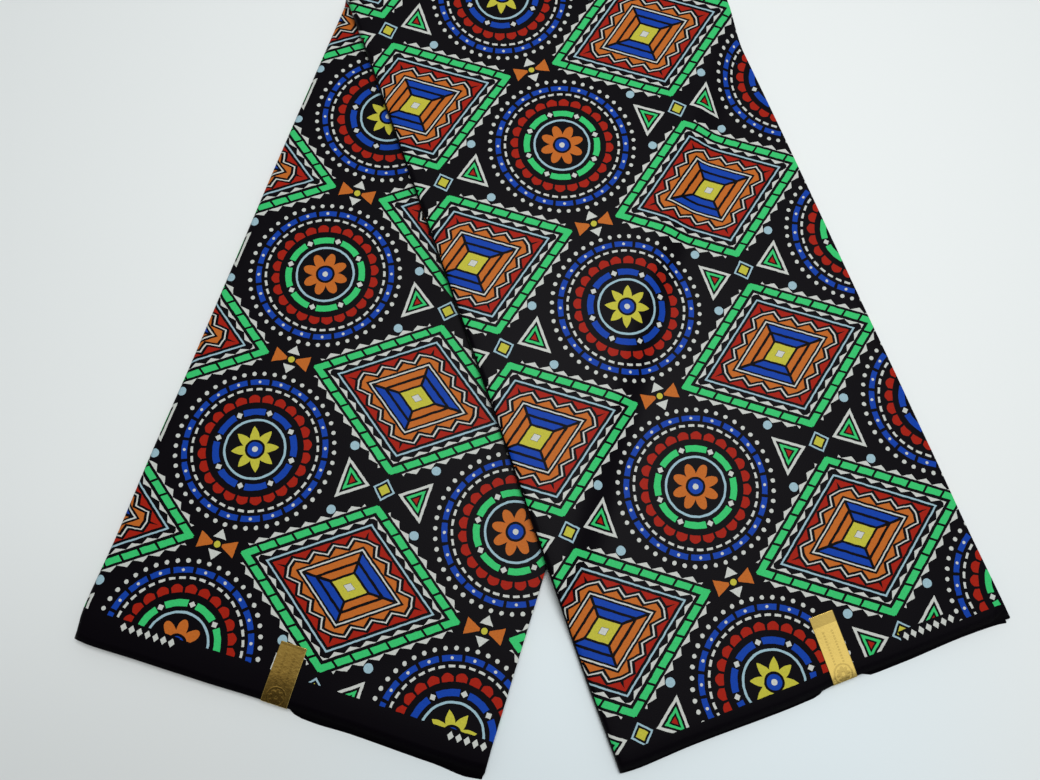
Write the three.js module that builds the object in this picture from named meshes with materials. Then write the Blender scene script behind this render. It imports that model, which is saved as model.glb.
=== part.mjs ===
// A length of wax print cotton, plaited into a long flat strip and folded once across its middle.
// The fold line lies askew to the strip, so its two arms spread as an upside-down V on the floor.
// The right arm lies on the left one and comes down to the floor beyond it.
//
// Each point of the strip has three coordinates:
//   along   from the left arm's hem (negative) to the right arm's hem (positive), 0 mid-strip
//   across  from the closed edge (negative) to the open edge (positive), 0 mid-strip
//   depth   from the face outside the fold (0) to the face inside it (the bundle's thickness)
// The left arm lies with depth 0 on the floor, the right arm with depth 0 on top.
import * as THREE from 'three';

// ---- Driving dimensions, in millimetres ------------------------------------------------------

const STRIP_LENGTH = 1213;        // the cloth's width, selvedge to selvedge
const PANEL_WIDTH = 305;          // one panel of the plaited cloth
const BUNDLE_THICKNESS = 8.5;     // eighteen plies, pressed
const ARM_ANGLE = THREE.MathUtils.degToRad(18.47);  // each arm, off the square to the fold line
const FOLD_INNER_RADIUS = 2;
const COVER_WALL = 1.2;           // the outer ply
const GAP = 0.3;                  // between pieces
const SETTLE_LENGTH = 70;         // the upper arm comes down onto the lower one over this
const SLOPE_START = 18;           // how far past the lower arm's open edge the slope begins
const SLOPE_LENGTH = 26;          // and how far it runs before it meets the floor
const LEAF_COUNT = 4;             // leaves that the inner layers' edges are parted into
const LEAF_GROOVE = 1.4;          // how deep the grooves between the leaves are
const LEAF_GROOVE_WIDTH = 0.3;
const INNER_HEM_INSET = 0.8;      // the inner layers' hem, behind the cover's
const LABEL_WALL = 0.8;
const LABEL_GAP = 0.4;            // between the label and the cloth
const LABEL_FLOOR_GAP = 0.8;      // the label ends this far above the floor
const LABEL_SQUEEZE = 0.2;        // how much thinner the bundle is at the label
const SQUEEZE_REACH = 45;         // over which it swells back to its full thickness

// How far each long edge stands out past the straight strip.
const CLOSED_EDGE = [
  { along: -606, out: 1.8 },
  { along: -585, out: 3.9 },
  { along: -523, out: 2.3 },
  { along: -470, out: 2.5 },
  { along: -375, out: 1.2 },
  { along: -240, out: 0.8 },
  { along: 0, out: -1.2 },
  { along: 250, out: -1 },
  { along: 540, out: 0.8 },
  { along: 606, out: 0 },
];
const OPEN_EDGE = [
  { along: -606, out: 0.2 },
  { along: -545, out: 0.5 },
  { along: -450, out: 1.1 },
  { along: 0, out: 1.7 },
  { along: 160, out: 2.2 },
  { along: 394, out: 0.9 },
  { along: 470, out: 0.3 },
  { along: 534, out: -0.5 },
  { along: 606, out: -0.2 },
];
// How far the inner layers stand out past the cover's open edge.
const OPEN_EDGE_PEEK = [
  { along: -606, out: 1.2 },
  { along: -560, out: 0 },
  { along: 440, out: 0 },
  { along: 560, out: 2.5 },
  { along: 606, out: 4 },
];
// How far each hem stands out past the straight cut, at the upper face and at the floor. Each is
// drawn in where the label holds it.
const LEFT_HEM = [
  { across: -153, upper: -0.4, lower: 0 },
  { across: -140, upper: 0.6, lower: 0.6 },
  { across: -98, upper: -0.1, lower: 0.2 },
  { across: -58, upper: -0.4, lower: 0 },
  { across: -13, upper: -1.1, lower: -1.1 },
  { across: 10, upper: -1.1, lower: -1.1 },
  { across: 19, upper: -1.5, lower: 3.4 },
  { across: 31, upper: -1.7, lower: 3.6 },
  { across: 55, upper: -2.1, lower: 2.8 },
  { across: 116, upper: -1.5, lower: 3.7 },
  { across: 140, upper: -1.8, lower: 5.2 },
  { across: 153, upper: -3, lower: 3.6 },
];
const RIGHT_HEM = [
  { across: -153, upper: -1.2, lower: 2 },
  { across: -138, upper: -0.1, lower: 2.8 },
  { across: -98, upper: -1.2, lower: 1.8 },
  { across: -24, upper: -0.3, lower: 2.9 },
  { across: -2, upper: -0.7, lower: 2.5 },
  { across: 11, upper: -2.3, lower: -2.3 },
  { across: 32, upper: -2.3, lower: -2.3 },
  { across: 44, upper: -1.6, lower: 2.7 },
  { across: 67, upper: -1.7, lower: 2.7 },
  { across: 116, upper: -2.6, lower: 1.6 },
  { across: 128, upper: -2.4, lower: 1.8 },
  { across: 153, upper: -1.4, lower: 4 },
];
// The labels: middle of each across the strip, width, and how far it reaches in from the hem.
// lean is how far its inner end stands across from its hem end.
const LABELS = {
  left_label: { arm: -1, across: -2.4, width: 19.5, reach: 42, lean: 0.3 },
  right_label: { arm: 1, across: 21.2, width: 18.8, reach: 48, lean: 1.4 },
};
// Where the columns of points lie across the strip, in half widths, closer at corners and labels.
const COLUMNS = [
  -1, -0.96, -0.85, -0.7, -0.55, -0.4, -0.25, -0.08, 0.06, 0.2, 0.35, 0.5, 0.65, 0.8, 0.92, 1,
];
const CLOSED_EDGE_STEPS = 4;
const FOLD_ROWS = 8;
const LEFT_ROWS = 13;
const RIGHT_ROWS = 43;
const LEFT_ROW_CROWDING = 1.5;    // above 1, the rows crowd towards the hem

// ---- Worked out ------------------------------------------------------------------------------

const HALF_LENGTH = STRIP_LENGTH / 2;
const HALF_WIDTH = PANEL_WIDTH / 2;
const HALF_THICKNESS = BUNDLE_THICKNESS / 2;
const SIN = Math.sin(ARM_ANGLE);
const COS = Math.cos(ARM_ANGLE);
const FOLD_MID_RADIUS = FOLD_INNER_RADIUS + HALF_THICKNESS;
const HALF_TURN = Math.PI / 2 * FOLD_MID_RADIUS;   // strip used on each side of the fold line
const INNER_HALF = HALF_THICKNESS - COVER_WALL - GAP;  // half the inner layers' thickness

const { lerp, clamp, smoothstep } = THREE.MathUtils;

// The value of a table at a place, eased from each row to the next.
function follow(table, key, at, value) {
  const last = table[table.length - 1];
  if (at <= table[0][key]) return table[0][value];
  if (at >= last[key]) return last[value];
  const next = table.findIndex((row) => row[key] > at);
  const [before, after] = [table[next - 1], table[next]];
  return lerp(before[value], after[value], smoothstep(at, before[key], after[key]));
}

const closedEdge = (along) => -HALF_WIDTH - follow(CLOSED_EDGE, 'along', along, 'out');
const openEdge = (along) => HALF_WIDTH + follow(OPEN_EDGE, 'along', along, 'out');

// The hem of an arm (-1 left, 1 right), as a signed place along the strip.
function hem(arm, across, depth) {
  const lowness = arm < 0 ? 1 - depth / BUNDLE_THICKNESS : depth / BUNDLE_THICKNESS;
  const table = arm < 0 ? LEFT_HEM : RIGHT_HEM;
  const upper = follow(table, 'across', across, 'upper');
  const lower = follow(table, 'across', across, 'lower');
  return arm * (HALF_LENGTH + lerp(upper, lower, lowness));
}

// The bundle's thickness near a label, as a share of the whole.
function squeeze(along, across) {
  const arm = Math.sign(along);
  const label = Object.values(LABELS).find((row) => row.arm === arm);
  if (!label) return 1;
  const inward = (HALF_LENGTH - Math.abs(along)) / SQUEEZE_REACH;
  const aside = (across - label.across) / SQUEEZE_REACH;
  return 1 - LABEL_SQUEEZE * Math.exp(-inward * inward - aside * aside);
}

// How high the right arm's underside lies above the floor.
function underside(x, y) {
  const acrossLeftArm = x * COS - (y - HALF_TURN) * SIN;
  const past = acrossLeftArm - HALF_WIDTH - SLOPE_START;
  const over = 1 - smoothstep(past, 0, SLOPE_LENGTH);
  const settle = 1 - smoothstep(-y, 0, SETTLE_LENGTH);
  return over * (BUNDLE_THICKNESS + GAP + settle * (2 * FOLD_INNER_RADIUS - GAP));
}

// A point of the strip in space. lift raises it off its arm's upper face.
function place(along, across, depth, lift = 0) {
  const x = along * SIN + across * COS;
  const fromFold = along * COS - across * SIN;
  if (Math.abs(fromFold) <= HALF_TURN) {
    const turn = Math.PI / 2 + fromFold / FOLD_MID_RADIUS;
    const radius = FOLD_INNER_RADIUS + BUNDLE_THICKNESS - depth;
    const centreHeight = BUNDLE_THICKNESS + FOLD_INNER_RADIUS;
    return new THREE.Vector3(x, radius * Math.sin(turn), centreHeight - radius * Math.cos(turn));
  }
  const thinning = squeeze(along, across);
  if (fromFold < 0) {
    return new THREE.Vector3(x, fromFold + HALF_TURN, depth * thinning + lift);
  }
  const y = HALF_TURN - fromFold;
  const height = (BUNDLE_THICKNESS - depth) * thinning;
  return new THREE.Vector3(x, y, underside(x, y) + height + lift);
}

// A closed surface from faces listed as rows of vertex numbers. Four-cornered faces are parted.
function solid(points, faces) {
  const geometry = new THREE.BufferGeometry();
  const positions = points.flatMap((point) => [point.x, point.y, point.z]);
  const triangles = faces.flatMap(([a, b, c, d]) => [a, b, c, a, c, d]);
  geometry.setAttribute('position', new THREE.Float32BufferAttribute(positions, 3));
  geometry.setIndex(triangles);
  geometry.computeVertexNormals();
  return geometry;
}

// ---- Stretches of the strip ------------------------------------------------------------------

// Each stretch runs from one line across the strip to another, over a number of rows. hemRow is
// the row that is its hem.
const foldLine = (distance) => (across) => (distance + across * SIN) / COS;
const STRETCHES = {
  left: {
    rows: LEFT_ROWS,
    crowding: LEFT_ROW_CROWDING,
    hemRow: 0,
    start: (across, depth) => hem(-1, across, depth),
    end: foldLine(-HALF_TURN - GAP / 2),
  },
  fold: {
    rows: FOLD_ROWS,
    crowding: 1,
    hemRow: null,
    start: foldLine(-HALF_TURN + GAP / 2),
    end: foldLine(HALF_TURN - GAP / 2),
  },
  right: {
    rows: RIGHT_ROWS,
    crowding: 1,
    hemRow: RIGHT_ROWS,
    start: foldLine(HALF_TURN + GAP / 2),
    end: (across, depth) => hem(1, across, depth),
  },
};

// One point of a stretch: row counts from its start, column from the closed edge (0) to the open
// one (1). closedInset and openInset draw the edges in, and hemInset the hem.
function stretchPoint(stretch, row, column, depth, insets) {
  const share = (row / stretch.rows) ** stretch.crowding;
  const nominal = lerp(-HALF_WIDTH, HALF_WIDTH, column);
  const near = lerp(stretch.start(nominal, depth), stretch.end(nominal, depth), share);
  const closed = closedEdge(near) + insets.closed;
  const across = lerp(closed, openEdge(near) - insets.open(near), column);
  const along = lerp(stretch.start(across, depth), stretch.end(across, depth), share);
  const hemInset = row === stretch.hemRow ? insets.hem : 0;
  return place(along - Math.sign(along) * hemInset, across, depth);
}

// The columns as shares from the closed edge to the open one.
const columnShares = COLUMNS.map((half) => (half + 1) / 2);

// ---- The cover: one ply over the top, round the closed edge and along the underside -----------

// The cover's section, from the open edge at depth 0, round the closed edge, to the open edge at
// full depth. radius is that of the turn at the closed edge.
function coverSection(radius) {
  const flat = (depth) => columnShares.map((column) => ({ column, depth, closed: HALF_THICKNESS }));
  const turn = [];
  for (let step = 1; step < CLOSED_EDGE_STEPS; step += 1) {
    const angle = Math.PI * step / CLOSED_EDGE_STEPS;
    turn.push({
      column: 0,
      depth: HALF_THICKNESS - radius * Math.cos(angle),
      closed: HALF_THICKNESS - radius * Math.sin(angle),
    });
  }
  return [...flat(HALF_THICKNESS - radius).reverse(), ...turn, ...flat(HALF_THICKNESS + radius)];
}

function coverGeometry(stretch) {
  const outer = coverSection(HALF_THICKNESS);
  const inner = coverSection(HALF_THICKNESS - COVER_WALL);
  const section = [...outer, ...inner.reverse()];
  const count = section.length;
  const points = [];
  for (let row = 0; row <= stretch.rows; row += 1) {
    for (const { column, depth, closed } of section) {
      points.push(stretchPoint(stretch, row, column, depth, { closed, open: () => 0, hem: 0 }));
    }
  }
  const faces = [];
  for (let row = 0; row < stretch.rows; row += 1) {
    for (let i = 0; i < count; i += 1) {
      const next = (i + 1) % count;
      const base = row * count;
      faces.push([base + i, base + next, base + count + next, base + count + i]);
    }
  }
  // Each end is a strip of faces between the outer section and the inner one, which runs back.
  const end = stretch.rows * count;
  for (let i = 0; i < count / 2 - 1; i += 1) {
    const across = count - 1 - i;
    faces.push([i, across, across - 1, i + 1]);
    faces.push([end + i, end + i + 1, end + across - 1, end + across]);
  }
  return solid(points, faces);
}

// ---- The inner layers: one rounded body, parted into leaves at the open edge and the hem ------

// The levels of the body from its least depth to its greatest, with each one's inset.
function leafLevels() {
  const pitch = 2 * INNER_HALF / LEAF_COUNT;
  const first = HALF_THICKNESS - INNER_HALF;
  const levels = [];
  for (let leaf = 0; leaf < LEAF_COUNT; leaf += 1) {
    const low = first + leaf * pitch;
    if (leaf > 0) levels.push({ depth: low, inset: LEAF_GROOVE });
    const lowFace = leaf > 0 ? low + LEAF_GROOVE_WIDTH / 2 : low;
    const highFace = leaf < LEAF_COUNT - 1 ? low + pitch - LEAF_GROOVE_WIDTH / 2 : low + pitch;
    levels.push({ depth: lowFace, inset: 0 }, { depth: highFace, inset: 0 });
  }
  return levels;
}

function innerLayersGeometry(stretch) {
  const levels = leafLevels();
  const columns = columnShares.length - 1;
  const { rows } = stretch;
  const points = [];
  const numbers = new Map();
  // The number of a point of the body, made when it is first asked for.
  const number = (level, row, column) => {
    const key = `${level} ${row} ${column}`;
    if (!numbers.has(key)) {
      const { depth, inset } = levels[level];
      const rise = clamp(Math.abs(depth - HALF_THICKNESS) / INNER_HALF, 0, 1);
      const insets = {
        closed: HALF_THICKNESS - INNER_HALF * Math.sqrt(1 - rise * rise),
        open: (along) => inset - follow(OPEN_EDGE_PEEK, 'along', along, 'out'),
        hem: INNER_HEM_INSET + inset,
      };
      numbers.set(key, points.length);
      points.push(stretchPoint(stretch, row, columnShares[column], depth, insets));
    }
    return numbers.get(key);
  };
  const faces = [];
  const top = levels.length - 1;
  for (let row = 0; row < rows; row += 1) {
    for (let column = 0; column < columns; column += 1) {
      const corners = [[row, column], [row + 1, column], [row + 1, column + 1], [row, column + 1]];
      faces.push(corners.map(([r, c]) => number(0, r, c)));
      faces.push(corners.reverse().map(([r, c]) => number(top, r, c)));
    }
  }
  // The rim, once round each level.
  const rim = [];
  for (let row = 0; row < rows; row += 1) rim.push([row, 0]);
  for (let column = 0; column < columns; column += 1) rim.push([rows, column]);
  for (let row = rows; row > 0; row -= 1) rim.push([row, columns]);
  for (let column = columns; column > 0; column -= 1) rim.push([0, column]);
  for (let level = 0; level < top; level += 1) {
    rim.forEach(([row, column], i) => {
      const [nextRow, nextColumn] = rim[(i + 1) % rim.length];
      faces.push([
        number(level, nextRow, nextColumn),
        number(level, row, column),
        number(level + 1, row, column),
        number(level + 1, nextRow, nextColumn),
      ]);
    });
  }
  return solid(points, faces);
}

// ---- The labels: a strip of foil on the upper face, turned down over the hem -------------------

const LABEL_FACE_STEPS = 4;
const LABEL_TURN_STEPS = 3;
const LABEL_COLUMNS = 3;

// The label's path at a radius about the hem's upper corner: past counts outward from the hem,
// lift upward from the upper face.
function labelPath(reach, radius) {
  const path = [];
  for (let step = 0; step < LABEL_FACE_STEPS; step += 1) {
    path.push({ past: -reach * (1 - step / LABEL_FACE_STEPS), lift: radius });
  }
  for (let step = 0; step <= LABEL_TURN_STEPS; step += 1) {
    const angle = Math.PI / 2 * step / LABEL_TURN_STEPS;
    path.push({ past: radius * Math.sin(angle), lift: radius * Math.cos(angle) });
  }
  path.push({ past: radius, lift: LABEL_FLOOR_GAP - BUNDLE_THICKNESS });
  return path;
}

function labelGeometry({ arm, across, width, reach, lean }) {
  const inner = labelPath(reach, LABEL_GAP);
  const outer = labelPath(reach, LABEL_GAP + LABEL_WALL);
  const loop = [...inner, ...outer.reverse()];
  const count = loop.length;
  const upperDepth = arm < 0 ? BUNDLE_THICKNESS : 0;
  const points = [];
  for (let column = 0; column <= LABEL_COLUMNS; column += 1) {
    for (const { past, lift } of loop) {
      const inward = clamp(-past / reach, 0, 1);
      const side = across + lean * inward + width * (column / LABEL_COLUMNS - 0.5);
      const along = hem(arm, side, upperDepth) + arm * past;
      const sunk = Math.min(lift, 0);
      const depth = upperDepth - arm * sunk;
      points.push(place(along, side, depth, Math.max(lift, 0)));
    }
  }
  const faces = [];
  for (let column = 0; column < LABEL_COLUMNS; column += 1) {
    for (let i = 0; i < count; i += 1) {
      const next = (i + 1) % count;
      const base = column * count;
      faces.push([base + i, base + count + i, base + count + next, base + next]);
    }
  }
  const end = LABEL_COLUMNS * count;
  for (let i = 0; i < count / 2 - 1; i += 1) {
    const facing = count - 1 - i;
    faces.push([i, i + 1, facing - 1, facing]);
    faces.push([end + i, end + facing, end + facing - 1, end + i + 1]);
  }
  return solid(points, faces);
}

// ---- Materials and the group -------------------------------------------------------------------

const printedCotton = () => new THREE.MeshStandardMaterial({
  color: 0x2a2a33, roughness: 0.78, metalness: 0,
});
const plainCotton = () => new THREE.MeshStandardMaterial({
  color: 0x17161c, roughness: 0.85, metalness: 0,
});
const goldFoil = () => new THREE.MeshStandardMaterial({
  color: 0xc8a550, roughness: 0.35, metalness: 0.8,
});

const group = new THREE.Group();

function add(name, geometry, material) {
  const mesh = new THREE.Mesh(geometry, material);
  mesh.name = name;
  group.add(mesh);
}

for (const [name, stretch] of Object.entries(STRETCHES)) {
  add(`${name}_cover`, coverGeometry(stretch), printedCotton());
  add(`${name}_inner_layers`, innerLayersGeometry(stretch), plainCotton());
}
for (const [name, label] of Object.entries(LABELS)) {
  add(name, labelGeometry(label), goldFoil());
}

// The origin is the middle of the part's box, on the floor.
const box = new THREE.Box3().setFromObject(group);
const middle = box.getCenter(new THREE.Vector3());
for (const mesh of group.children) {
  mesh.geometry.translate(-middle.x, -middle.y, -box.min.z);
}

export default group;
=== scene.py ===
"""A folded length of wax print cotton on a pale floor: one outer ply, the plies pressed inside it,
and a foil label on each hem. Sizes are in millimetres until a mesh or a place is made from them."""
import ast
import math
import operator

import bpy
from mathutils import Matrix, Vector


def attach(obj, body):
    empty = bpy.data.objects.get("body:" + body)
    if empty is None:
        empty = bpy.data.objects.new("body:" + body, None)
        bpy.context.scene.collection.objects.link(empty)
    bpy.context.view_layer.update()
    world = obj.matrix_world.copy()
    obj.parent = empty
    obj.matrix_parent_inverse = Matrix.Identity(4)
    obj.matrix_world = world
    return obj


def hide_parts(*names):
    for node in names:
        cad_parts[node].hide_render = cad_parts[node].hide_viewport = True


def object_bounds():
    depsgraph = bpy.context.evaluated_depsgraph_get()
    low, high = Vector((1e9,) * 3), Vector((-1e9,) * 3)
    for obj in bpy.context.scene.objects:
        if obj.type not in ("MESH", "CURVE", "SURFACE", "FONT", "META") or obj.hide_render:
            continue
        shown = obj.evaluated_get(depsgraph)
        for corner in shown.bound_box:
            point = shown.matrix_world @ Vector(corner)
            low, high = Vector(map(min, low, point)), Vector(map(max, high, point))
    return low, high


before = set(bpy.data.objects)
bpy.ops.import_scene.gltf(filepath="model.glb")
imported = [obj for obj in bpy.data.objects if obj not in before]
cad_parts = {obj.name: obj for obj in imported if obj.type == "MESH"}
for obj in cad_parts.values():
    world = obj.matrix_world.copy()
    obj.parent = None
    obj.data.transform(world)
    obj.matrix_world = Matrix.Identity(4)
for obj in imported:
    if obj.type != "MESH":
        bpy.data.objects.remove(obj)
cad_low, cad_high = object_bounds()

# ---- Sizes of the folded cloth ------------------------------------------------------------------

MM = 0.001
STRIP_LENGTH = 1213.0
PANEL_WIDTH = 305.0
THICKNESS = 8.5
ARM_ANGLE = math.radians(18.47)     # of each arm from the middle line between them
FOLD_RADIUS = 2.0                   # inside the turn where the strip folds back over itself
GAP = 0.3                           # between the arms where one lies on the other
SETTLE_LENGTH = 70.0                # from the fold to where the upper arm rests on the lower one
SLOPE_START = 10.0                  # past the lower arm's edge, where the upper arm starts down
SLOPE_LENGTH = 28.0
SQUEEZE = 0.2                       # share of the thickness that is pressed out at each label
SQUEEZE_REACH = 45.0
ROUND_REACH = 12.0                  # from the right hem, where its top starts to round off
ROUND_DROP = 1.8                    # how far the hem's top edge drops
# The middle of the fold line, seen from the middle of the part's box.
FOLD_X = -1.336
FOLD_Y = cad_high.y / MM - FOLD_RADIUS - THICKNESS

PLY = 0.4            # one ply of the cotton
OUTER_TURN = 0.47    # radius at the open edge, where the outer ply turns back in
OUTER_FLAP = 22.0    # how far it then runs in
LEAVES = 7           # folded pairs of plies inside the outer ply
LEAF_FIRST = 0.99    # depth at which the first of them starts
LEAF_PITCH = 0.93
LEAF_TURN = 0.44
LEAF_NEAR = 22.0     # the stretch of each leaf next to its fold, modelled finely

# Sizes that every tree of the strip takes as named inputs.
STRIP_SIZES = {
    "strip_length": STRIP_LENGTH,
    "panel_width": PANEL_WIDTH,
    "thickness": THICKNESS,
    "arm_angle": ARM_ANGLE,
    "fold_radius": FOLD_RADIUS,
    "gap": GAP,
    "settle_length": SETTLE_LENGTH,
    "slope_start": SLOPE_START,
    "slope_length": SLOPE_LENGTH,
    "squeeze": SQUEEZE,
    "squeeze_reach": SQUEEZE_REACH,
    "round_reach": ROUND_REACH,
    "round_drop": ROUND_DROP,
    "fold_x": FOLD_X,
    "fold_y": FOLD_Y,
}

# How far each long edge, the inner plies at the open edge, and each hem stand out.
CLOSED_EDGE = (
    ("along", "out"),
    (-606, 1.8), (-585, 3.9), (-523, 2.3), (-470, 2.5), (-375, 1.2), (-240, 0.8), (0, -1.2),
    (250, -1), (540, 0.8), (606, 0),
)
OPEN_EDGE = (
    ("along", "out"),
    (-606, 0.2), (-545, 0.5), (-450, 1.1), (0, 1.7), (160, 2.2), (394, 0.9), (470, 0.3),
    (534, -0.5), (606, -0.2),
)
OPEN_EDGE_PEEK = (
    ("along", "out"),
    (-606, 1.2), (-560, 0), (440, 0), (560, 2.5), (606, 4),
)
LEFT_HEM = (
    ("across", "upper", "lower"),
    (-153, -0.4, 0), (-140, 0.6, 0.6), (-98, -0.1, 0.2), (-58, -0.4, 0), (-13, -1.1, -1.1),
    (6, -1.1, -1.1), (17, -1.5, 3.2), (31, -1.7, 3.6), (55, -2.1, 2.8), (116, -1.5, 3.7),
    (140, -1.8, 5.2), (153, -3, 3.6),
)
RIGHT_HEM = (
    ("across", "upper", "lower"),
    (-153, -0.8, 2.4), (-138, 0.3, 3.2), (-98, -0.8, 2.2), (-24, 0.1, 3.3), (-2, -0.4, 2.9),
    (11, -1.9, -1.9), (32, -1.9, -1.9), (44, -1.8, 2.4), (67, -2, 2.4), (116, -2.8, 1.3),
    (128, -2.7, 1.5), (143, -2.8, 2), (153, -4.6, 3.4),
)
# Soft creases of the upper face, each a ridge (height above 0) or a trough between two places.
CREASES = (
    ("along", "across", "to_along", "to_across", "height", "half_width"),
    (-596, -3, -470, 30, 0.7, 13),
    (-590, 40, -520, 95, -0.6, 11),
    (-520, -120, -380, -95, 0.6, 16),
    (-330, -60, -250, 20, -0.5, 15),
    (-560, 110, -440, 138, 0.6, 10),
    (598, 20, 520, -20, 0.7, 12),
    (590, 60, 500, 110, -0.6, 12),
    (430, -130, 330, -70, 0.7, 15),
    (400, 40, 300, 120, -0.6, 18),
    (240, -20, 150, 60, 0.6, 20),
    (200, 120, 90, 90, -0.6, 14),
    (120, -110, 40, -50, 0.6, 14),
)

LABELS = {
    "left_label": {"arm": -1, "across": -2.4, "width": 19.5, "reach": 42, "lean": 0.3},
    "right_label": {"arm": 1, "across": 21.2, "width": 18.8, "reach": 48, "lean": 1.4},
}

# ---- Node trees ---------------------------------------------------------------------------------


def add_node(tree, kind, inputs=None, **settings):
    """Adds a node, gives it its settings, and sets or links its inputs."""
    node = tree.nodes.new(kind)
    for name, value in settings.items():
        setattr(node, name, value)
    for key, value in (inputs or {}).items():
        if isinstance(value, bpy.types.NodeSocket):
            tree.links.new(value, node.inputs[key])
        else:
            node.inputs[key].default_value = value
    return node


# The Math operation for each sign and word of a formula.
SIGNS = {
    ast.Add: ("ADD", operator.add),
    ast.Sub: ("SUBTRACT", operator.sub),
    ast.Mult: ("MULTIPLY", operator.mul),
    ast.Div: ("DIVIDE", operator.truediv),
    ast.Lt: ("LESS_THAN", operator.lt),
    ast.Gt: ("GREATER_THAN", operator.gt),
}
WORDS = {
    "abs": "ABSOLUTE", "min": "MINIMUM", "max": "MAXIMUM", "sqrt": "SQRT", "sin": "SINE",
    "cos": "COSINE", "exp": "EXPONENT", "floor": "FLOOR", "atan2": "ARCTAN2", "wrap": "WRAP",
}
# Words that take a range: a plain share of it from 0 to 1, or one that is eased at both ends.
RANGES = {"share": "LINEAR", "ease": "SMOOTHSTEP"}


def result_of(tree, term, known):
    """The number, or the socket of the last of the nodes, that one term of a formula stands for."""
    if isinstance(term, ast.Constant):
        return float(term.value)
    if isinstance(term, ast.Name):
        return known[term.id]
    if isinstance(term, ast.Call):
        values = [result_of(tree, each, known) for each in term.args]
        word = term.func.id
        if word in RANGES:
            inputs = dict(enumerate(values))
            node = add_node(tree, "ShaderNodeMapRange", inputs, interpolation_type=RANGES[word])
            return node.outputs[0]
        operation = WORDS[word]
    elif isinstance(term, ast.UnaryOp):
        values = [-1.0, result_of(tree, term.operand, known)]
        operation, work = SIGNS[ast.Mult]
    else:
        # What is left is arithmetic or a comparison of two terms.
        is_arithmetic = isinstance(term, ast.BinOp)
        pair = [term.left, term.right] if is_arithmetic else [term.left, *term.comparators]
        sign = term.op if is_arithmetic else term.ops[0]
        values = [result_of(tree, each, known) for each in pair]
        operation, work = SIGNS[type(sign)]
    if not isinstance(term, ast.Call) and all(isinstance(value, float) for value in values):
        return float(work(*values))
    inputs = dict(enumerate(values))
    return add_node(tree, "ShaderNodeMath", inputs, operation=operation).outputs[0]


def work_out(tree, lines, **known):
    """Adds the nodes for lines of arithmetic such as 'a = b + 2', and returns what each names."""
    for line in ast.parse(lines).body:
        known[line.targets[0].id] = result_of(tree, line.value, known)
    return known


def follow(at, table, column):
    """The formula that eases from each row of a table to the next."""
    names, *rows = table
    place = names.index(column)
    text = f"({rows[0][place]}"
    for before, after in zip(rows, rows[1:]):
        rise = after[place] - before[place]
        text += f" + ({rise:.4g})*ease({at}, {before[0]}, {after[0]})"
    return text + ")"


def crease_lines():
    """Formula lines for the height of the creases at a place (along, across)."""
    lines = "lift = 0\n"
    for row in CREASES[1:]:
        crease = dict(zip(CREASES[0], row))
        run_along = crease["to_along"] - crease["along"]
        run_across = crease["to_across"] - crease["across"]
        length = math.hypot(run_along, run_across)
        lines += (
            f"p = along - ({crease['along']})\n"
            f"q = across - ({crease['across']})\n"
            f"t = share(p*({run_along / length}) + q*({run_across / length}), 0, {length})\n"
            f"p = p - t*({run_along})\n"
            f"q = q - t*({run_across})\n"
            f"near = exp((p*p + q*q)*({-1 / crease['half_width'] ** 2}))\n"
            f"lift = lift + near*({crease['height']})*(1.15 - (2*t - 1)*(2*t - 1))\n"
        )
    return lines


# ---- The strip's rule ---------------------------------------------------------------------------
# across0 and depth say where a column of points lies in the bundle's section, and row_left,
# row_fold and row_right how far its row has run down each stretch, from 0 to 1. unrolled and
# printed_along are its place on the flat cloth, which the print follows.

ALONG_LINES = f"""
half_width = panel_width/2
half_length = strip_length/2
sine = sin(arm_angle)
cosine = cos(arm_angle)
mid_radius = fold_radius + thickness/2
reach = mid_radius*{math.pi / 2}
low = depth/thickness
left_upper = {follow("across0", LEFT_HEM, "upper")}
left_lower = {follow("across0", LEFT_HEM, "lower")}
right_upper = {follow("across0", RIGHT_HEM, "upper")}
right_lower = {follow("across0", RIGHT_HEM, "lower")}
left_hem = hem_inset - half_length - left_upper*low - left_lower*(1 - low)
right_hem = half_length + right_upper*(1 - low) + right_lower*low - hem_inset
near = left_hem*(1 - row_left) + right_hem*row_right + (row_left - row_right)*across0*sine
side = across0/panel_width + 0.5
closed_out = {follow("near", CLOSED_EDGE, "out")}
open_out = {follow("near", OPEN_EDGE, "out")}
peek = {follow("near", OPEN_EDGE_PEEK, "out")}
across = across0 - closed_out*(1 - side) + open_out*side + peek_share*side*peek
fold_middle = across*sine/cosine
start = fold_middle - reach/cosine
finish = fold_middle + reach/cosine
along = left_hem + (start - left_hem)*row_left + (finish - start)*row_fold
along = along + (right_hem - finish)*row_right
"""

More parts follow.
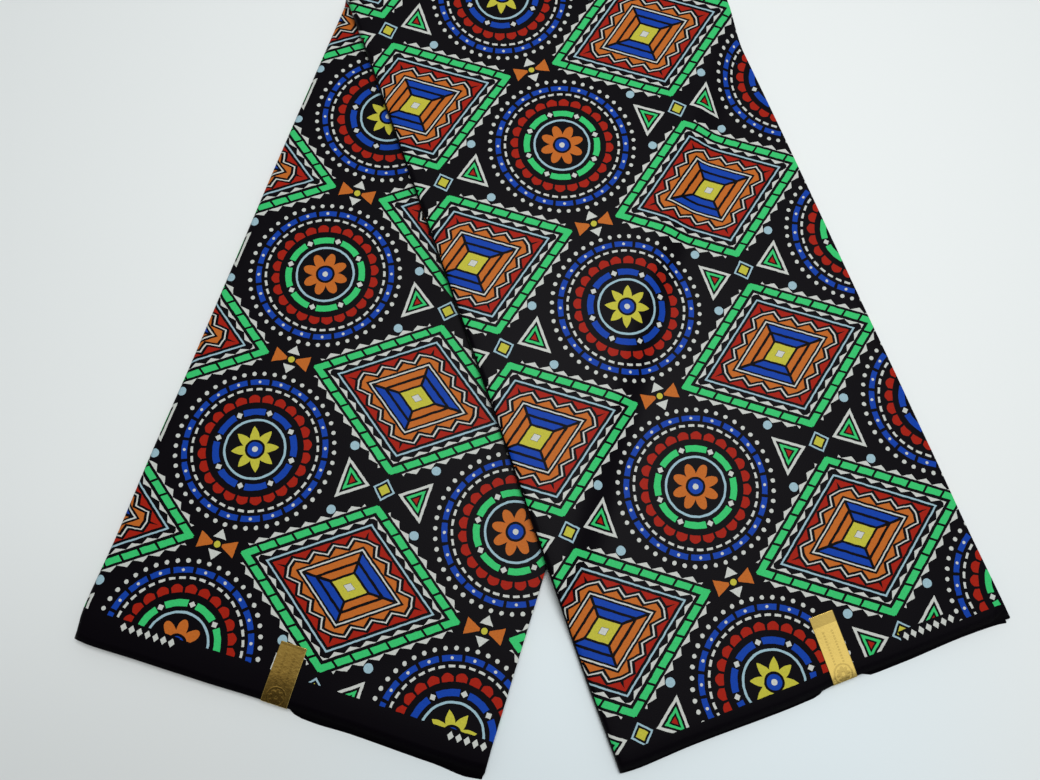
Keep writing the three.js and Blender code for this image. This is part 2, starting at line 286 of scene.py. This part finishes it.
PLACE_LINES = f"""
x = along*sine + across*cosine
from_fold = along*cosine - across*sine
past_left = min(from_fold + reach, 0)
past_right = max(from_fold - reach, 0)
turn = min(max(from_fold, -reach), reach)/mid_radius + {math.pi / 2}
radius = fold_radius + thickness - depth
y = past_left - past_right + radius*sin(turn)
over = 1 - ease(x*cosine + (past_right + reach)*sine - half_width - slope_start, 0, slope_length)
settle = 1 - ease(past_right, 0, settle_length)
under = over*(thickness + gap + settle*(2*fold_radius - gap))
e = (half_length + along)/squeeze_reach
f = (across - ({LABELS['left_label']['across']}))/squeeze_reach
g = (half_length - along)/squeeze_reach
h = (across - ({LABELS['right_label']['across']}))/squeeze_reach
thinned = squeeze*(depth*exp(-(e*e + f*f)) + (thickness - depth)*exp(-(g*g + h*h)))
{crease_lines()}
on_left = from_fold < 0
upness = on_left*depth/thickness + (1 - on_left)*(1 - depth/thickness)
from_hem = half_length - abs(along)
bend = 1 - share(from_hem, 0, round_reach*(1 + on_left))
z = under - fold_radius - radius*cos(turn) - thinned
z = z + (lift - round_drop*bend*bend)*upness*upness + raised
x = (x + fold_x)*{MM}
y = (y + fold_y)*{MM}
z = z*{MM}
"""


def new_tree(name, sizes):
    """A geometry tree with named inputs for its sizes and its material."""
    tree = bpy.data.node_groups.new(name, "GeometryNodeTree")
    for size, value in sizes.items():
        socket = tree.interface.new_socket(size, in_out="INPUT", socket_type="NodeSocketFloat")
        socket.default_value = value
    tree.interface.new_socket("material", in_out="INPUT", socket_type="NodeSocketMaterial")
    tree.interface.new_socket("Geometry", in_out="OUTPUT", socket_type="NodeSocketGeometry")
    start = add_node(tree, "NodeGroupInput")
    return tree, {socket.name: socket for socket in start.outputs if socket.name}


def sheet_tree(name, sizes, columns, rows, section_lines, copies=1):
    """A tree that lays a grid of columns and rows along the strip by the rule above. With several
    copies, each is a ply pair of its own, and 'copy' counts them."""
    tree, known = new_tree(name, sizes)
    grid = add_node(tree, "GeometryNodeMeshGrid", {
        "Size X": float(columns), "Size Y": float(rows),
        "Vertices X": columns + 1, "Vertices Y": rows + 1,
    })
    single = add_node(tree, "GeometryNodeGeometryToInstance", {"Geometry": grid.outputs["Mesh"]})
    several = add_node(tree, "GeometryNodeDuplicateElements", {
        "Geometry": single.outputs[0], "Amount": copies,
    }, domain="INSTANCE")
    counted = add_node(tree, "GeometryNodeStoreNamedAttribute", {
        "Geometry": several.outputs["Geometry"], "Name": "copy",
        "Value": several.outputs["Duplicate Index"],
    }, data_type="FLOAT", domain="INSTANCE")
    real = add_node(tree, "GeometryNodeRealizeInstances", {"Geometry": counted.outputs[0]})
    position = add_node(tree, "ShaderNodeSeparateXYZ", {
        "Vector": add_node(tree, "GeometryNodeInputPosition").outputs[0],
    })
    copy = add_node(tree, "GeometryNodeInputNamedAttribute", {"Name": "copy"}, data_type="FLOAT")
    known.update(
        column=position.outputs["X"], row=position.outputs["Y"], copy=copy.outputs[0],
        columns=float(columns), rows=float(rows),
    )
    known = work_out(tree, f"column = column + {columns / 2}\nrow = row + {rows / 2}", **known)
    known = work_out(tree, section_lines, **known)
    place = add_node(tree, "ShaderNodeCombineXYZ", {
        "X": known["x"], "Y": known["y"], "Z": known["z"],
    })
    on_cloth = add_node(tree, "ShaderNodeCombineXYZ", {
        "X": known["unrolled"], "Y": known["printed_along"], "Z": 0.0,
    })
    mapped = add_node(tree, "GeometryNodeStoreNamedAttribute", {
        "Geometry": real.outputs[0], "Name": "cloth", "Value": on_cloth.outputs[0],
    }, data_type="FLOAT2", domain="CORNER")
    laid = add_node(tree, "GeometryNodeSetPosition", {
        "Geometry": mapped.outputs[0], "Position": place.outputs[0],
    })
    smooth = add_node(tree, "GeometryNodeSetShadeSmooth", {"Geometry": laid.outputs[0]})
    whole = add_node(tree, "GeometryNodeRealizeInstances", {"Geometry": smooth.outputs[0]})
    dressed = add_node(tree, "GeometryNodeSetMaterial", {
        "Geometry": whole.outputs[0], "Material": known["material"],
    })
    add_node(tree, "NodeGroupOutput", {"Geometry": dressed.outputs[0]})
    return tree


def grown(name, tree, sizes, material):
    """The plain mesh object that a tree makes with these sizes."""
    source = bpy.data.objects.new(name + "_source", bpy.data.meshes.new(name + "_source"))
    bpy.context.scene.collection.objects.link(source)
    modifier = source.modifiers.new("Tree", "NODES")
    modifier.node_group = tree
    for item in tree.interface.items_tree:
        if item.in_out == "INPUT":
            modifier[item.identifier] = material if item.name == "material" else sizes[item.name]
    evaluated = source.evaluated_get(bpy.context.evaluated_depsgraph_get())
    mesh = bpy.data.meshes.new_from_object(evaluated)
    piece = bpy.data.objects.new(name, mesh)
    bpy.context.scene.collection.objects.link(piece)
    bpy.data.objects.remove(source)
    return piece


def thicken(piece, wall):
    """Gives a sheet its wall, inward from the modelled face."""
    solidify = piece.modifiers.new("Wall", "SOLIDIFY")
    solidify.thickness = wall * MM
    solidify.offset = -1
    solidify.use_even_offset = False


# ---- The labels' rosette ------------------------------------------------------------------------

ROSETTE_PLACE = 5.0     # from the hem to its middle
RING_RADIUS = 6.6
RING_HALF = 0.45
PETALS_FROM = 1.4
PETALS_TO = 3.4
PETALS_REACH = 1.8

# A ring with eight petals in it, 1 inside and 0 outside, at a place (u, v) from its middle.
ROSETTE_LINES = f"""
rr = sqrt(u*u + v*v)
petals = (rr > {PETALS_FROM})*(rr < {PETALS_TO} + {PETALS_REACH}*abs(cos(atan2(v, u)*4)))
rosette = max(abs(rr - {RING_RADIUS}) < {RING_HALF}, petals)
"""

# ---- Materials ----------------------------------------------------------------------------------

# Noise cells in a millimetre of cloth or foil.
OUTLINE_WANDER = 0.22
THREAD_MOTTLE = 0.8
WEAVE_BUMP = 1.1
FOIL_CRINKLE = 0.35


def linear(hexadecimal, alpha=1.0):
    """An sRGB hex colour as linear values."""
    channels = [int(hexadecimal[i:i + 2], 16) / 255 for i in (0, 2, 4)]
    curve = [c / 12.92 if c <= 0.04045 else ((c + 0.055) / 1.055) ** 2.4 for c in channels]
    return (*curve, alpha)


# The dyes of the print. The ground is the near black that is left round every shape.
DYES = {
    "ground": "040206",
    "green": "34b767",
    "red": "961c0d",
    "orange": "b26023",
    "blue": "0f3b99",
    "white": "bbbeb8",
    "pale_blue": "90aeb8",
    "yellow": "b3ae3a",
}
REPEAT_ACROSS = 203.0
REPEAT_ALONG = 147.0

# The shapes of the print, each 1 inside and 0 outside. a and b are measured from the middle of a
# medallion and c and d from the middle of a lozenge, all unsigned, so that each shape comes round
# its middle four times. saw runs from 0 to 1 and back along a side. odd marks every other one.
MEDALLION_LINES = f"""
a = abs(wrap(x, {REPEAT_ACROSS / 2}, {-REPEAT_ACROSS / 2}))
b = abs(wrap(y, {REPEAT_ALONG / 2}, {-REPEAT_ALONG / 2}))
odd = wrap(floor(x*{1 / REPEAT_ACROSS} + 0.5) + floor(y*{1 / REPEAT_ALONG} + 0.5), 2, 0) > 0.5
r = sqrt(a*a + b*b)
turn = atan2(b, a)
pupil = r < 2.2
eye = (r < 5.6)*(r > 2.2)
ray = 8.6*abs(wrap(turn*{8 / math.pi}, 1, -1))
flower = (r > 7.4)*(r < 9.6 + 8.2*abs(cos(turn*4)))*(1 - odd)
star = (r > 7.4)*(r < 9 + ray)*odd
thin_ring = abs(r - 22.3) < 0.85
step = abs(wrap(turn*28.75, 11.29, -11.29))
arcs = (r > 26.3)*(r < 31.2)*(step > 3.2)
gems = abs(r - 28.75) + step < 2.5
step = abs(wrap(turn*38, 4.974, -4.974))
scallops = (r > 36)*(r < 38.6 + 3.4*abs(sin(turn*12)))*(step > 0.9)
step = abs(wrap(turn*46.3, 3.636, -3.636))
dashes = (r > 45.5)*(r < 47.3)*(step < 2.3)
step = wrap(turn*52, 8.168, -8.168)
bricks = (r > 49.9)*(r < 54.1)*(abs(step) < 7)
studs = sqrt((r - 52)*(r - 52) + step*step) < 1.1
step = wrap(turn*58.6, 3.835, -3.835)
beads = sqrt((r - 58.6)*(r - 58.6) + step*step) < 1.6
"""
LOZENGE_LINES = f"""
c = {REPEAT_ACROSS / 2} - a
d = {REPEAT_ALONG / 2} - b
quarter_across = wrap(x, {REPEAT_ACROSS}, 0) - {REPEAT_ACROSS / 2}
quarter_along = wrap(y, {REPEAT_ALONG}, 0) - {REPEAT_ALONG / 2}
even_quarter = quarter_across*quarter_along > 0
s = c/84 + d/62
edge = c/84 - d/62
saw = abs(wrap(edge*9, 1, -1))
frame_band = (s < 1)*(s > 0.903)*(abs(wrap(edge*52.2, 6.525, -6.525)) > 0.9)
outer_saw = (s > 1.04)*(s < 1.11 - 0.07*saw)*(abs(edge) < 0.84)
inner_saw = (s < 0.855)*(s > 0.795 + 0.06*saw)
thin_frame = abs(s - 0.752) < 0.013
wave = 0.1*abs(wrap(edge*7, 1, -1))
down_teeth = (s > 0.6 + wave)*(s < 0.7)
up_teeth = (s < 0.49 + wave)*(s > 0.49)
zigzag = abs(s - 0.545 - wave) < 0.012
inner_frame = abs(s - 0.448) < 0.011
core = (s < 0.41)*(s > 0.19)*(min(c, d) > 1)*(abs(s - 0.3) > 0.02)
heart = (s < 0.155)*(s > 0.055)
pip = s < 0.05
"""
FILLER_LINES = """
wedge = max((b - (c - 11)*0.72)*0.81, c - 33)
wedge_frame = (wedge < 0)*(wedge > -2)
wedge_band = (wedge < -3.6)*(wedge > -5.4)
wedge_core = wedge < -6.6
knot = c + b < 4.6
knot_frame = abs(c + b - 7.6) < 0.9
e = c - 32
f = b - 25
disc = sqrt(e*e + f*f) < 3.4
bow = (a > 3.6)*(a < 14)*(d < a*0.5 - 0.8)
boss = sqrt(a*a + d*d) < 2.4
peak = (a < (11.5 - d)*0.72)*(d > 4.6)
"""
PRINT_COLOURS = (
    ("green", "max(max(frame_band, arcs*(1 - odd)), wedge_band)"),
    ("blue", "max(max(eye, bricks), max(core*even_quarter, arcs*odd))"),
    ("red", "max(scallops, max(down_teeth, wedge_core))"),
    ("orange", "max(max(flower, bow), max(up_teeth, core*(1 - even_quarter)))"),
    ("pale_blue", "max(max(thin_ring, knot_frame), max(thin_frame, disc))"),
    ("yellow", "max(max(knot, boss), max(heart, star))"),
    ("white", "max(max(max(beads, gems), max(studs, pupil)), max(max(outer_saw, inner_saw), "
              "max(max(max(inner_frame, zigzag), wedge_frame), max(max(peak, pip), dashes))))"),
)

# The print stops short of each hem. A row of small lozenges stands by each mark's place.
SELVEDGE_LEFT = 22.5
SELVEDGE_RIGHT = 11.8
# A narrow line of plain ground along the upper arm's closed edge, where the cloth turns down, is
# painted shade of that turn.
PAINTED_SHADE_FROM = 327.0
PAINTED_SHADE_TO = 337.0
MARKS = (
    ("x", "y", "half_width"),
    (82.5, 591.4, 21.0),
    (384.4, -588.1, 21.5),
    (620.2, -587.8, 15.5),
)


def mark_lines():
    """Formula lines for the rows of small lozenges, and the plain ground round each row."""
    lines = "boxes = 0\nmarks = 0\n"
    for row in MARKS[1:]:
        mark = dict(zip(MARKS[0], row))
        lines += (
            f"e = abs(x - {mark['x']})\n"
            f"f = abs(y - ({mark['y']}))\n"
            f"boxes = max(boxes, (e < {mark['half_width'] + 1.5})*(f < 4.8))\n"
            f"marks = max(marks, (abs(wrap(e, 3, -3))*1.3 + f < 3.1)*(e < {mark['half_width']}))\n"
        )
    return lines


def new_material(name):
    """A material with an empty node tree."""
    material = bpy.data.materials.new(name)
    material.use_nodes = True
    tree = material.node_tree
    tree.nodes.clear()
    return material, tree


def calendered_wax_print_cotton(name):
    """Plain-woven cotton, wax printed and calendered: even, nearly matt, with a faint sheen where
    the press has flattened the threads."""
    material, tree = new_material(name)
    cloth = add_node(tree, "ShaderNodeUVMap", uv_map="cloth")
    # The hand-cut outline of a shape wanders by a few tenths of a millimetre.
    wander = add_node(tree, "ShaderNodeTexNoise", {
        "Vector": cloth.outputs[0], "Scale": OUTLINE_WANDER, "Detail": 1.0,
    })
    shift = add_node(tree, "ShaderNodeVectorMath", {
        0: wander.outputs["Color"], 1: (0.5, 0.5, 0.5),
    }, operation="SUBTRACT")
    wandered = add_node(tree, "ShaderNodeVectorMath", {
        0: shift.outputs[0], 1: (0.8, 0.8, 0.0), 2: cloth.outputs[0],
    }, operation="MULTIPLY_ADD")
    place = add_node(tree, "ShaderNodeSeparateXYZ", {0: wandered.outputs[0]})
    # The print is cut away along the upper arm's closed edge, so near-black ground shows there as
    # painted shade.
    lines = MEDALLION_LINES + LOZENGE_LINES + FILLER_LINES + mark_lines() + f"""
printed = (y < {STRIP_LENGTH / 2 - SELVEDGE_RIGHT})*(y > {SELVEDGE_LEFT - STRIP_LENGTH / 2})
printed = printed*(1 - boxes)*(1 - (x > {PAINTED_SHADE_FROM})*(x < {PAINTED_SHADE_TO})*(y > 0))
"""
    known = work_out(tree, lines, x=place.outputs["X"], y=place.outputs["Y"])
    colour = linear(DYES["ground"])
    for dye, lines in PRINT_COLOURS:
        unmarked = "" if dye != "white" else " + marks"
        mask = work_out(tree, f"mask = printed*{lines}{unmarked}", **known)["mask"]
        mix = add_node(tree, "ShaderNodeMix", {
            0: mask, 6: colour, 7: linear(DYES[dye]),
        }, data_type="RGBA")
        colour = mix.outputs[2]
    # Dye takes unevenly from thread to thread; threads are 0.4 mm apart, drawn at 1.2 mm to show.
    mottle = add_node(tree, "ShaderNodeTexNoise", {
        "Vector": cloth.outputs[0], "Scale": THREAD_MOTTLE, "Detail": 3.0, "Roughness": 0.6,
    })
    tone = add_node(tree, "ShaderNodeMapRange", {
        0: mottle.outputs["Fac"], 1: 0.3, 2: 0.7, 3: 0.88, 4: 1.1,
    })
    dyed = add_node(tree, "ShaderNodeMix", {
        0: 1.0, 6: colour, 7: tone.outputs[0],
    }, data_type="RGBA", blend_type="MULTIPLY")
    weave = add_node(tree, "ShaderNodeTexNoise", {
        "Vector": cloth.outputs[0], "Scale": WEAVE_BUMP, "Detail": 2.0,
    })
    bump = add_node(tree, "ShaderNodeBump", {
        "Strength": 0.25, "Distance": 0.0003, "Height": weave.outputs["Fac"],
    })
    surface = add_node(tree, "ShaderNodeBsdfPrincipled", {
        "Base Color": dyed.outputs[2], "Roughness": 0.5, "Specular IOR Level": 0.055,
        "Sheen Weight": 0.01, "Sheen Roughness": 0.4, "Normal": bump.outputs[0],
    })
    add_node(tree, "ShaderNodeOutputMaterial", {"Surface": surface.outputs[0]})
    return material


def embossed_gold_foil(name):
    """Gold foil hot-stamped on paper: satin, a little crinkled."""
    material, tree = new_material(name)
    cloth = add_node(tree, "ShaderNodeUVMap", uv_map="cloth")
    crinkle = add_node(tree, "ShaderNodeTexNoise", {
        "Vector": cloth.outputs[0], "Scale": FOIL_CRINKLE, "Detail": 2.0,
    })
    bump = add_node(tree, "ShaderNodeBump", {
        "Strength": 0.3, "Distance": 0.0004, "Height": crinkle.outputs["Fac"],
    })
    # Two rows of small printed dashes run down each label. Its rosette is painted a little darker
    # too, as painted shade of its relief, and its far end is painted darker, as painted shade where
    # the label bends.
    place = add_node(tree, "ShaderNodeSeparateXYZ", {0: cloth.outputs[0]})
    # Painted shade: the rosette and the label's far end are darkened like the printed dashes.
    known = work_out(tree, f"""
dashes = (abs(abs(u) - 3.4) < 0.8)*(abs(y - 24) < 12)*(abs(wrap(y, 1, -1)) > 0.35)
v = y - {ROSETTE_PLACE}
{ROSETTE_LINES}
ink = max(0.3*max(dashes, rosette), 0.4*(y > 40))
""", u=place.outputs["X"], y=place.outputs["Y"])
    print_and_painted_shade = add_node(tree, "ShaderNodeMix", {
        0: known["ink"], 6: linear("dfbf68"), 7: linear("7a6230"),
    }, data_type="RGBA")
    surface = add_node(tree, "ShaderNodeBsdfPrincipled", {
        "Base Color": print_and_painted_shade.outputs[2], "Metallic": 1.0, "Roughness": 0.22,
        "Normal": bump.outputs[0],
    })
    add_node(tree, "ShaderNodeOutputMaterial", {"Surface": surface.outputs[0]})
    return material


def matt_card_floor(name):
    """A sheet of pale matt card, darkened a little towards its near edge on the left by painted
    shade, and cooler in the middle of that edge."""
    material, tree = new_material(name)
    place = add_node(tree, "ShaderNodeSeparateXYZ", {
        0: add_node(tree, "ShaderNodeTexCoord").outputs["Object"],
    })
    # Painted shade darkens the card towards its near edge on the left.
    tones = work_out(tree, """
grey = 0.135*ease(-y - 0.5*max(x + 0.2, 0) + 0.1*min(x + 0.2, 0), 0.07, 0.34)
cool = ease(-y, 0.1, 0.25)*(1 - ease(abs(x - 0.08), 0.1, 0.35))
""", x=place.outputs["X"], y=place.outputs["Y"])
    tinted = add_node(tree, "ShaderNodeMix", {
        0: tones["cool"], 6: linear("dfe3e2"), 7: linear("d9e3e6"),
    }, data_type="RGBA")
    card = add_node(tree, "ShaderNodeMix", {
        0: tones["grey"], 6: tinted.outputs[2], 7: (0.0, 0.0, 0.0, 1.0),
    }, data_type="RGBA")
    surface = add_node(tree, "ShaderNodeBsdfPrincipled", {
        "Base Color": card.outputs[2], "Roughness": 0.6,
    })
    add_node(tree, "ShaderNodeOutputMaterial", {"Surface": surface.outputs[0]})
    return material


# ---- The outer ply ------------------------------------------------------------------------------

# Columns of points spent on each part of the outer ply's section, from the flap turned in at the
# open edge, round the closed edge, to the flap turned in above it.
OUTER_PARTS = (
    ("part", "columns"),
    ("flap_in", 3), ("turn_in", 6), ("under", 52), ("closed_turn", 10), ("upper", 52),
    ("turn_out", 6), ("flap_out", 3),
)
ARM_ROWS = 104
FOLD_ROWS = 16
# At the upper arm's outer corner the outer ply is drawn back, and the plies under it show.
CORNER_INSET = 4.5
CORNER_FROM = 138
CORNER_TO = 150


def share_lines(table, counter):
    """Formula lines for how far a counter has run through each part of a table, and their sum."""
    lines, start = "", 0
    for part, count in table[1:]:
        lines += f"{part} = share({counter}, {start}, {start + count})\n"
        start += count
    return lines, start


def row_lines(arm_rows, fold_rows):
    """Formula lines for how far a row has run down each stretch of the strip."""
    rows = (
        ("stretch", "rows"),
        ("row_left", arm_rows), ("row_fold", fold_rows), ("row_right", arm_rows),
    )
    return share_lines(rows, "row")


def outer_ply(material):
    """The ply that is wrapped round the whole bundle."""
    parts, columns = share_lines(OUTER_PARTS, "column")
    stretches, rows = row_lines(ARM_ROWS, FOLD_ROWS)
    lines = parts + stretches + f"""
closed_radius = thickness/2
flat = panel_width - open_turn - closed_radius
across0 = panel_width/2 - open_turn - flap*(1 - flap_in) + open_turn*sin({math.pi}*turn_in)
across0 = across0 - flat*under - closed_radius*sin({math.pi}*closed_turn) + flat*upper
across0 = across0 + open_turn*sin({math.pi}*turn_out) - flap*flap_out
depth = open_turn*(1 + cos({math.pi}*turn_in)) + closed_radius*(1 - cos({math.pi}*closed_turn))
depth = depth - open_turn*(1 - cos({math.pi}*turn_out))
unrolled = flap*(flap_in + flap_out) + {math.pi}*open_turn*(turn_in + turn_out)
unrolled = unrolled + flat*(under + upper) + {math.pi}*closed_radius*closed_turn
corner = ease(across0, {CORNER_FROM}, {CORNER_TO})
hem_inset = {CORNER_INSET}*corner*(1 - ease(depth, 0.95, 1.6))*row_right
peek_share = 0
""" + ALONG_LINES + f"""
raised = 0
printed_along = along
""" + PLACE_LINES
    sizes = {**STRIP_SIZES, "open_turn": OUTER_TURN, "flap": OUTER_FLAP}
    tree = sheet_tree("outer ply", sizes, columns, rows, lines)
    piece = grown("outer_ply", tree, sizes, material)
    thicken(piece, PLY)
    return piece


# ---- The plies inside ---------------------------------------------------------------------------

# Columns spent on each part of a leaf's section, from its upper ply's hidden end, round its fold at
# the open edge, to its lower ply's hidden end.
LEAF_PARTS = (
    ("part", "columns"),
    ("far_in", 18), ("near_in", 4), ("turn_round", 5), ("near_out", 4), ("far_out", 18),
)
LEAF_ARM_ROWS = 60
LEAF_FOLD_ROWS = 12
LEAF_ROUND_SQUARED = 13     # of the radius that the hidden ends follow inside the closed edge
LEAF_CLOSED_GAP = 1.2       # how far they stop short of it
LEAF_OPEN_GAP = 0.6         # how far each fold stays in from the open edge
LEAF_PRINT_STEP = 611       # how far each leaf's print is moved on from the last one's


def inner_plies(material):
    """The leaves inside it, each a pair of plies folded at the open edge. A leaf lies at its full
    depth by the hems and the open edge, and nearer the middle of the bundle elsewhere."""
    parts, columns = share_lines(LEAF_PARTS, "column")
    stretches, rows = row_lines(LEAF_ARM_ROWS, LEAF_FOLD_ROWS)
    lines = parts + stretches + f"""
leaf_depth = first_depth + pitch*(copy + 0.5)
rise = leaf_depth - thickness/2
closed_inset = thickness/2 - sqrt(max({LEAF_ROUND_SQUARED} - rise*rise, 0))
far = panel_width - turn_in - near_run - closed_inset - {LEAF_CLOSED_GAP}
on_near = near_in*(1 - near_out)
across0 = panel_width/2 - {LEAF_OPEN_GAP} - turn_in - near_run*(1 - near_in + near_out)
across0 = across0 - far*(1 - far_in + far_out) + turn_in*sin({math.pi}*turn_round)
by_hem = max(1 - share(row_left, 0.02, 0.08), share(row_right, 0.92, 0.98))
full = max(by_hem, ease(on_near, 0, 0.6))
depth = thickness/2 + (rise + turn_in*cos({math.pi}*turn_round))*(0.4 + 0.6*full)
unrolled = copy*{LEAF_PRINT_STEP} + far*(far_in + far_out) + near_run*(near_in + near_out)
unrolled = unrolled + 2*turn_round
hem_inset = 0.8 + 0.5*sin(copy*2.4 + 0.7) + 0.25*sin(copy*5.1 + across0*0.02)
peek_share = 0.3 + 0.13*copy
""" + ALONG_LINES + f"""
across = across + (0.35*sin(copy*3.7 + 1) + 0.3*sin(along*0.011 + copy*1.9))*side - 0.3*side
raised = 0
printed_along = along
""" + PLACE_LINES
    sizes = {
        **STRIP_SIZES, "first_depth": LEAF_FIRST, "pitch": LEAF_PITCH, "turn_in": LEAF_TURN,
        "near_run": LEAF_NEAR,
    }
    tree = sheet_tree("inner plies", sizes, columns, rows, lines, copies=LEAVES)
    piece = grown("inner_plies", tree, sizes, material)
    thicken(piece, PLY)
    return piece


# ---- The foil labels ----------------------------------------------------------------------------

# Rows spent on each part of a label: down the hem, round its upper edge and along the face.
LABEL_PARTS = (("part", "rows"), ("down", 22), ("corner", 6), ("face", 118))
LABEL_COLUMNS = 52
LABEL_WALL = 0.2
LABEL_CLEAR = 0.45      # from the cloth to the label's outer face
LABEL_FLOOR_GAP = 0.9   # from the label's end to the floor
EMBOSS = 0.06           # how far the rosette stands out


def foil_label(name, label, material):
    """A strip of foil, bent over the hem and run up the face of its arm."""
    parts, rows = share_lines(LABEL_PARTS, "row")
    lines = parts + f"""
u = (column/columns - 0.5)*width
half_length = strip_length/2
sine = sin(arm_angle)
cosine = cos(arm_angle)
mid_radius = fold_radius + thickness/2
reach = mid_radius*{math.pi / 2}
half_width = panel_width/2
across = label_across + lean*face + u
left_upper = {follow("across", LEFT_HEM, "upper")}
right_upper = {follow("across", RIGHT_HEM, "upper")}
hem_out = left_upper*(arm < 0) + right_upper*(arm > 0)
v = label_reach*face - {ROSETTE_PLACE}
{ROSETTE_LINES}
stand = clear + emboss*rosette
past = stand*sin((1 - corner)*{math.pi / 2}) - label_reach*face
raised = stand*cos((1 - corner)*{math.pi / 2})
sunk = (thickness - floor_gap)*(1 - down)
along = arm*(half_length + hem_out + past)
depth = thickness*(arm < 0) + arm*sunk
unrolled = u
printed_along = label_reach*face
""" + PLACE_LINES
    sizes = {
        **STRIP_SIZES, "arm": label["arm"], "label_across": label["across"],
        "width": label["width"], "label_reach": label["reach"], "lean": label["lean"],
        "clear": LABEL_CLEAR, "floor_gap": LABEL_FLOOR_GAP, "emboss": EMBOSS,
    }
    tree = sheet_tree(name, sizes, LABEL_COLUMNS, rows, lines)
    piece = grown(name + "_foil", tree, sizes, material)
    thicken(piece, LABEL_WALL)
    return piece


# ---- The pieces ---------------------------------------------------------------------------------

print_cloth = calendered_wax_print_cotton("calendered wax print cotton")
gold = embossed_gold_foil("embossed gold foil")

inner = inner_plies(print_cloth)
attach(inner, "root")
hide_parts("left_inner_layers", "fold_inner_layers", "right_inner_layers")

for name, label in LABELS.items():
    foil = foil_label(name, label, gold)
    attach(foil, "root")
    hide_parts(name)

outer = outer_ply(print_cloth)
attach(outer, "root")
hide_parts("left_cover", "fold_cover", "right_cover")

# ---- Floor, light and camera --------------------------------------------------------------------

floor_mesh = bpy.data.meshes.new("floor")
FLOOR_HALF = 4.0
corners = [(FLOOR_HALF * x, FLOOR_HALF * y, 0) for x, y in ((-1, -1), (1, -1), (1, 1), (-1, 1))]
floor_mesh.from_pydata(corners, [], [(0, 1, 2, 3)])
floor = bpy.data.objects.new("floor", floor_mesh)
bpy.context.scene.collection.objects.link(floor)
floor_mesh.materials.append(matt_card_floor("matt card"))


def room_light(name):
    """A pale room, brighter towards its far wall, at +Y, and warmer high up towards -X and -Y. High
    up, a pale blind glows towards +X, and a dark shelf hangs towards -X and -Y: the foil mirrors
    both."""
    world = bpy.data.worlds.new(name)
    world.use_nodes = True
    tree = world.node_tree
    tree.nodes.clear()
    direction = add_node(tree, "ShaderNodeSeparateXYZ", {
        0: add_node(tree, "ShaderNodeTexCoord").outputs["Generated"],
    })
    known = work_out(tree, """
blind = ease(0.43*x - 0.24*y + 0.87*z, 0.945, 1)
shelf = ease(0.742*z - 0.3*x - 0.6*y, 0.875, 0.965)
warmth = ease(0.707*z - 0.5*x - 0.5*y, 0.75, 0.95)
strength = max(0.39 + 0.1*x + 0.3*y + 0.85*blind - 0.3*shelf, 0.03)
""", x=direction.outputs["X"], y=direction.outputs["Y"], z=direction.outputs["Z"])
    hue = add_node(tree, "ShaderNodeMix", {
        0: known["warmth"], 6: linear("f6fbff"), 7: linear("f4dcb8"),
    }, data_type="RGBA")
    background = add_node(tree, "ShaderNodeBackground", {0: hue.outputs[2], 1: known["strength"]})
    add_node(tree, "ShaderNodeOutputWorld", {"Surface": background.outputs[0]})
    return world


bpy.context.scene.world = room_light("pale room")


def area_light(name, place, aim, size, power):
    """A square lamp at a place, turned towards its aim."""
    light = bpy.data.lights.new(name, "AREA")
    light.shape = "SQUARE"
    light.size = size
    light.energy = power
    lamp = bpy.data.objects.new(name, light)
    lamp.location = place
    lamp.rotation_euler = (Vector(aim) - Vector(place)).to_track_quat("-Z", "Y").to_euler()
    bpy.context.scene.collection.objects.link(lamp)


area_light("window", place=(0.16, 0.2, 1.4), aim=(0.1, 0.05, 0.0), size=0.8, power=16.3)

# The camera looks nearly straight down from above the hems.
CAMERA_PLACE = (-27.2, -476.5, 592.6)   # from the middle of the fold line, on the floor
CAMERA_PITCH = math.radians(13.13)      # away from straight down
CAMERA_YAW = math.radians(-4.58)
CAMERA_ROLL = math.radians(3.51)
FOCAL_SHARE = 781 / 1040                # focal length over the image's width
SENSOR = 36.0
camera = bpy.data.objects.new("camera", bpy.data.cameras.new("camera"))
camera.data.sensor_width = SENSOR
camera.data.lens = SENSOR * FOCAL_SHARE
camera.data.clip_start = 0.01
camera.data.clip_end = 50
place = Vector(CAMERA_PLACE) + Vector((FOLD_X, FOLD_Y, 0))
turned = Matrix.Rotation(CAMERA_YAW, 4, "Z") @ Matrix.Rotation(CAMERA_PITCH, 4, "X")
camera.matrix_world = Matrix.Translation(place * MM) @ turned @ Matrix.Rotation(CAMERA_ROLL, 4, "Z")
bpy.context.scene.collection.objects.link(camera)
bpy.context.scene.camera = camera
bpy.context.scene.view_settings.view_transform = "Standard"
